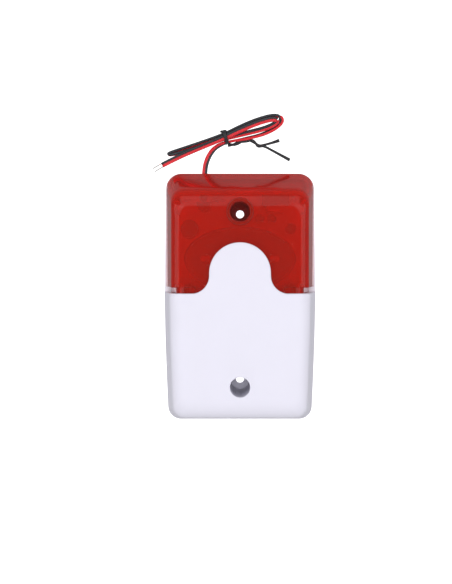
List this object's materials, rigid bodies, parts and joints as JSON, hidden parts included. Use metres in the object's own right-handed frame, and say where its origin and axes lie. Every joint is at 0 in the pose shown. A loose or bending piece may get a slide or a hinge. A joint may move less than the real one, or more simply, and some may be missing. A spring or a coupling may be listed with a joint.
{
  "type": "alarm siren",
  "caption": "Wall-mounted siren and strobe in a rounded case, with a clear red upper shell, a white front cover with a tongue, two screw wells and a folded two-core supply lead",
  "frame": {"origin": "centre of the back face of the case, in the plane that meets the wall", "axes": "+Z out of the wall towards the front, +Y towards the lens end, +X to the right seen from the front"},
  "size_m": [0.0814, 0.1511, 0.042],
  "materials": {
    "white_base": "satin moulded",
    "red_lens": "clear red, polished",
    "white_cover": "satin moulded",
    "screw_steel": "zinc plated",
    "board_laminate": "satin",
    "reflector_chrome": "mirror",
    "tube_glass": "clear",
    "pin_metal": "tinned",
    "tinned_copper": "tinned",
    "ferrite": "matt",
    "winding_tape": "glossy tape",
    "coil_resin": "cast resin",
    "capacitor_sleeve": "shrink sleeve",
    "film_resin": "dipped",
    "chip_epoxy": "matt",
    "resistor_body": "satin",
    "black_capsule": "moulded",
    "piezo_brass": "rolled",
    "piezo_ceramic": "silvered",
    "seal_rubber": "matt",
    "red_wire": "extruded",
    "lead_black": "extruded",
    "tie_plastic": "extruded"
  },
  "bodies": {
    "root": {"base": "white_base", "lens": "red_lens", "front_cover": "white_cover", "case_screws": "screw_steel", "control_board": "board_laminate", "board_screws": "screw_steel", "reflector": "reflector_chrome", "flash_tube": "tube_glass", "tube_electrodes": "pin_metal", "trigger_wire": "tinned_copper", "transformer_core": "ferrite", "transformer_winding": "winding_tape", "trigger_coil": "coil_resin", "flash_capacitor": "capacitor_sleeve", "filter_capacitor": "capacitor_sleeve", "film_capacitor": "film_resin", "transistors": "chip_epoxy", "tone_chip": "chip_epoxy", "resistors": "resistor_body", "horn_body": "black_capsule", "piezo_plate": "piezo_brass", "piezo_ceramic": "piezo_ceramic", "disc_seal": "seal_rubber", "horn_cap": "black_capsule", "horn_screws": "screw_steel", "sounder_leads": "red_wire", "inner_leads": "red_wire", "lead_exit": "lead_black", "lead_hank": "lead_black", "lead_tail": "lead_black", "wire_ends": "tinned_copper", "twist_tie": "tie_plastic"}
  },
  "joints": []
}
